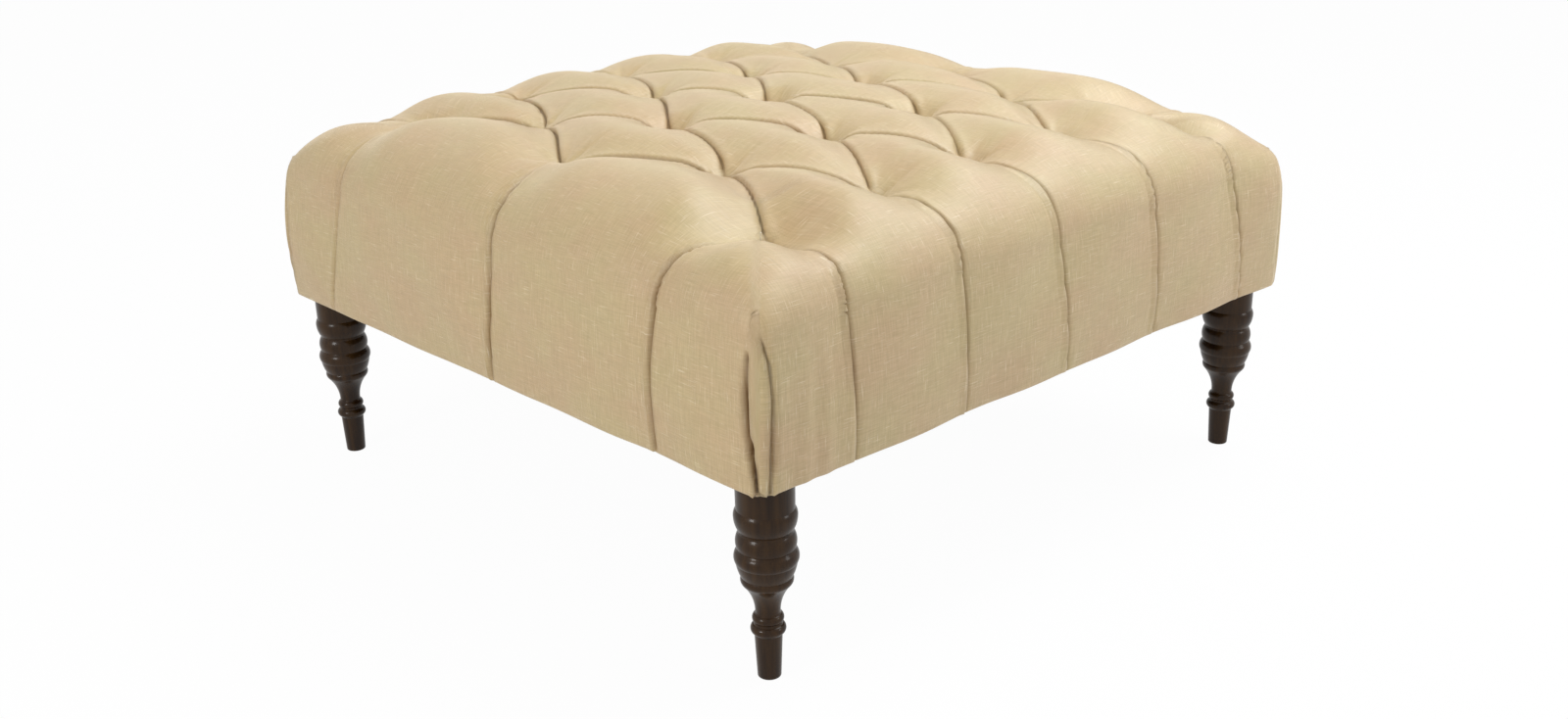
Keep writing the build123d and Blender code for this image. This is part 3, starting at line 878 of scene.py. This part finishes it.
thread_pitch = 0.0011
linen, shader, place = finish_named("slubbed_linen")
cloth = place.node("ShaderNodeAttribute", {"attribute_name": "cloth_run"}, output="Vector")
# painted shade: in the folds, pleats and corner slots the linen's colour is darkened to brown, where
# little light gets in
painted_crease_shade = place.node("ShaderNodeAttribute", {"attribute_name": "fold_shade"}, output="Fac")
warp = cloth.stretched(900, 42, 1).noise(1.0, 2.0, 0.6)
weft = cloth.stretched(42, 900, 1).noise(1.0, 2.0, 0.6)
warp_slub = cloth.stretched(1000, 55, 1).noise(1.0, 1.0).between(0.64, 0.80)
weft_slub = cloth.stretched(55, 1000, 1).noise(1.0, 1.0).between(0.64, 0.80)
mottling = cloth.noise(11.0, 3.0, 0.6).between(0.35, 0.65)
ground = (warp * 0.5 + weft * 0.5).between(0.3, 0.72).colour(
    mottling.colour(rgb(175, 152, 102), rgb(177, 147, 102)),
    mottling.colour(rgb(204, 182, 132), rgb(206, 176, 132)),
)
ground = (warp_slub * 0.6 + weft_slub * 0.6).colour(ground, rgb(232, 216, 182))
weave = (cloth.one_way("X") * (2 * math.pi / thread_pitch)).sine()
weave = weave * (cloth.one_way("Y") * (2 * math.pi / thread_pitch)).sine()
threads = weave * 0.25 + warp * 0.4 + weft * 0.4 + (warp_slub + weft_slub) * 0.25
feed(shader, {
    "Base Color": painted_crease_shade.colour(ground, rgb(108, 74, 24)),
    "Roughness": 0.42 + 0.14 * warp,
    "Normal": relief(threads, 0.0005, 0.5),
    "Sheen Weight": 0.7,
    "Sheen Roughness": 0.4,
    "Sheen Tint": rgb(255, 238, 210),
    "Specular IOR Level": 1.0,
    "IOR": 1.5,
})
cover.data.materials.append(linen)
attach(cover, "root")
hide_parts("fabric_cover")


# Filling: polyester batting under the linen, over the crowned foam block and down the
# rails. Both are pressed in by the tufts, and the linen holds them in place.
batting_gap = 0.0032
fold_tuck = 0.0056
corner_tuck = 0.0095
tuft_tuck = 0.0040
foam_level = 0.3508
foam_crown = 0.018
foam_rounding = 0.54
deck_top = round(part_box("deck_board")[1].z, 4)
foam_edge_rise = 0.0004
foam_bed = deck_top + foam_edge_rise
batting_on_wall = 0.0081
batting_on_top = 0.004


def closed_layer(name, outer, inner, quads, ring):
    """A padded layer: an outer and an inner surface of the same grid, joined along the hem."""
    count = len(outer)
    faces = np.concatenate([quads, quads[:, ::-1] + count, band(ring, ring + count)])
    return seat_mesh(name, np.concatenate([outer, inner]), faces)


layout = Tufting(cover_grid.x, cover_grid.y, cover_grid.girth)
skin_out = outward(cover_shape, cover_grid.quads)
tuck = fold_tuck * hump(layout.nearest()["gap"], 0.012)
tuck += corner_tuck * hump(corner_run(cover_grid.places()), 0.026) * (cover_grid.girth > 0.1)
tuck += tuft_tuck * hump(layout.tuft_polar()[0], 0.014)
batting_outer = cover_shape - skin_out * (batting_gap + tuck)[:, None]
on_top = cover_grid.level > shoulder_level
rounded_level = foam_level + (cover_grid.level - shoulder_level) * foam_rounding
foam_skin_level = np.where(on_top, rounded_level, cover_grid.level)
foam_skin_level += foam_crown * np.clip(crowned(cover_grid.x, cover_grid.y), 0, 1)
squeeze = (seat_half - batting_on_wall) / seat_half
foam_skin = np.stack([cover_grid.x * squeeze, cover_grid.y * squeeze, foam_skin_level], 1)
foam_skin[:, :2] -= skin_out[:, :2] * tuck[:, None]
under_batting = batting_outer[:, 2] - np.where(on_top, batting_on_top, 0)
foam_skin[:, 2] = np.minimum(foam_skin[:, 2], under_batting)
batting_piece = closed_layer("batting_layer", batting_outer, foam_skin, cover_grid.quads, cover_grid.hem)

foam_grid = SeatGrid(cover_step, foam_bed)
edge_skin = foam_skin[foam_grid.rim_foot]
foam_top = foam_skin[:foam_grid.on_top]
foam_fit = 0.9985
foam_clearance = 0.0006
hollow_share = 0.97
hollow_growth = 0.025
rows, beds = [foam_top], [foam_top * hollow_share]
for row in range(1, foam_grid.wall_rings + 1):
    share = row / foam_grid.wall_rings
    lower = edge_skin.copy()
    lower[:, 2] = shoulder_level - share * (shoulder_level - foam_bed)
    rows.append(lower)
    beds.append(edge_skin * (hollow_share + hollow_growth * share))
foam_outer = np.concatenate(rows) * [foam_fit, foam_fit, 1] - [0, 0, foam_clearance]
foam_inner = np.concatenate(beds)
foam_inner[:, 2] = deck_top
foam_piece = closed_layer("foam_core", foam_outer, foam_inner, foam_grid.quads, foam_grid.hem)

batting_finish, shader, place = finish_named("polyester_batting")
fluff = place.noise(160.0, 4.0, 0.7)
feed(shader, {
    "Base Color": fluff.between(0.3, 0.7).colour(rgb(226, 226, 222), rgb(250, 250, 247)),
    "Roughness": 0.85 + 0.1 * fluff,
    "Normal": relief(fluff, 0.002, 0.7),
    "Sheen Weight": 0.3,
})
batting_piece.data.materials.append(batting_finish)
foam_finish, shader, place = finish_named("open_cell_foam")
cells = place.node("ShaderNodeTexVoronoi", None, {"Vector": place, "Scale": 900.0})
feed(shader, {
    "Base Color": cells.between(0.1, 0.6).colour(rgb(214, 204, 160), rgb(244, 236, 198)),
    "Roughness": 0.85 + 0.1 * cells,
    "Normal": relief(cells, 0.0006, 0.6),
})
foam_piece.data.materials.append(foam_finish)
for piece, node, slot in (
    (batting_piece, "batting_wrap", "batting"), (foam_piece, "foam_block", "foam"),
):
    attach(piece, "root")
    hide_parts(node)


# Dust cover: thin black non-woven cloth, cut square and stapled under the frame over
# the hem. It is held by its edges and hangs down a little between the rails.
sheet_half = round(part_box("dust_cover")[1].x, 4)
sheet_clearance = 0.00005
sheet_level = hem_level - sheet_clearance
sheet_thickness = 0.0005
sheet_lines = 101
sheet_sag = 0.0045
sheet_ripple = 0.0006
stapled_share = 0.93
across, along = square_of(np.linspace(-1, 1, sheet_lines))
inside = np.clip((stapled_share - np.maximum(abs(across), abs(along))) / stapled_share, 0, 1)
ripple = sheet_ripple * np.sin(9 * across) * np.sin(7 * along) * inside
hang = (sheet_sag * (1 - (1 - inside) ** 2) + ripple) * ramp(inside, 0, 0.12)
sheet_places = np.stack([across * sheet_half, along * sheet_half, sheet_level - hang], 1)
sheet_quads = square_faces(sheet_lines)[:, [0, 3, 2, 1]]
dust_sheet = seat_mesh("dust_sheet", sheet_places, sheet_quads)
thickened(dust_sheet, sheet_thickness)

black_cloth, shader, place = finish_named("black_non_woven")
fibre = place.noise(420.0, 4.0, 0.65)
spots = place.stretched(900, 900, 1).noise(1.0, 1.0).between(0.4, 0.62)
fleece = fibre * 0.6 + spots * 0.4
feed(shader, {
    "Base Color": fleece.between(0.3, 0.7).colour(rgb(24, 24, 25), rgb(52, 52, 54)),
    "Roughness": 0.8 + 0.15 * fibre,
    "Normal": relief(fleece, 0.0004, 0.5),
    "Sheen Weight": 0.1,
})
dust_sheet.data.materials.append(black_cloth)
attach(dust_sheet, "root")
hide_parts("dust_cover")


# Camera, light and floor: the eye stands in front of the left front corner, a little
# above the seat. Three soft lamps and a pale world light the piece, which stands on a
# plain white floor. The floor and the world look white, also where they are mirrored.
eye_place = Vector((-1.29933, -1.38842, 0.83818))
eye_turn = 0.753703839
eye_tilt = 0.363841155
eye_roll = -0.0208004884
film_width = 36.0
focal_length = 37.977
ahead = Vector((
    math.sin(eye_turn) * math.cos(eye_tilt), math.cos(eye_turn) * math.cos(eye_tilt), -math.sin(eye_tilt)
))
right = Vector((math.cos(eye_turn), -math.sin(eye_turn), 0))
upward = right.cross(ahead)
leant_right = right * math.cos(eye_roll) + upward * math.sin(eye_roll)
leant_up = upward * math.cos(eye_roll) - right * math.sin(eye_roll)
lens = bpy.data.cameras.new("eye")
lens.sensor_width = film_width
lens.lens = focal_length
eye = bpy.data.objects.new("eye", lens)
eye.matrix_world = Matrix((
    (leant_right.x, leant_up.x, -ahead.x, eye_place.x),
    (leant_right.y, leant_up.y, -ahead.y, eye_place.y),
    (leant_right.z, leant_up.z, -ahead.z, eye_place.z),
    (0, 0, 0, 1),
))
bpy.context.scene.collection.objects.link(eye)
bpy.context.scene.camera = eye
bpy.context.scene.view_settings.view_transform = "Standard"


def soft_lamp(name, place, aim, size, power, colour=(1, 1, 1)):
    """A square soft lamp at a place, turned to face its aim."""
    lamp = bpy.data.lights.new(name, "AREA")
    lamp.color = colour
    lamp.shape = "SQUARE"
    lamp.size = size
    lamp.energy = power
    holder = bpy.data.objects.new(name, lamp)
    holder.location = place
    holder.rotation_euler = (Vector(aim) - Vector(place)).to_track_quat("-Z", "Y").to_euler()
    bpy.context.scene.collection.objects.link(holder)


soft_lamp("lamp_overhead", (1.1, -0.5, 2.3), (0, 0, 0.35), 1.6, 48, (0.93, 0.97, 1.0))
soft_lamp("lamp_right", (1.6, -2.6, 1.5), (0, 0, 0.3), 0.8, 12)
soft_lamp("lamp_left", (-2.8, -0.2, 1.3), (0, 0, 0.3), 0.7, 26)


def seen_rays(tint):
    """1 for rays that show the background: straight, mirrored or through something clear."""
    kinds = ("Is Camera Ray", "Is Glossy Ray", "Is Transmission Ray")
    straight, mirrored, through = (tint.node("ShaderNodeLightPath", output=kind) for kind in kinds)
    return tint.worked_out("MINIMUM", straight + mirrored + through, 1.0)


white = (1, 1, 1, 1)
world_light = 0.45
world = bpy.data.worlds.new("studio")
bpy.context.scene.world = world
world.use_nodes = True
sky = world.node_tree.nodes["Background"]
seen = seen_rays(Tint(sky.outputs["Background"]))
feed(sky, {"Color": white, "Strength": world_light + (1 - world_light) * seen})

floor_reach = 12.0
floor_glow = 0.97
floor_mesh = bpy.data.meshes.new("studio_floor")
floor_corners = [(x * floor_reach, y * floor_reach, 0) for x, y in ((-1, -1), (1, -1), (1, 1), (-1, 1))]
floor_mesh.from_pydata(floor_corners, [], [(0, 1, 2, 3)])
floor = bpy.data.objects.new("studio_floor", floor_mesh)
bpy.context.scene.collection.objects.link(floor)
paper, shader, place = finish_named("studio_paper")
feed(shader, {"Base Color": (0.82, 0.82, 0.82, 1), "Roughness": 0.9, "Specular IOR Level": 0.0})
glow = floor_glow * seen_rays(place)
bright = place.node("ShaderNodeEmission", None, {"Color": white, "Strength": 1.0})
surface = place.node("ShaderNodeMixShader", None, {0: glow, 1: Tint(shader.outputs["BSDF"]), 2: bright})
feed(paper.node_tree.nodes["Material Output"], {"Surface": surface})
floor_mesh.materials.append(paper)
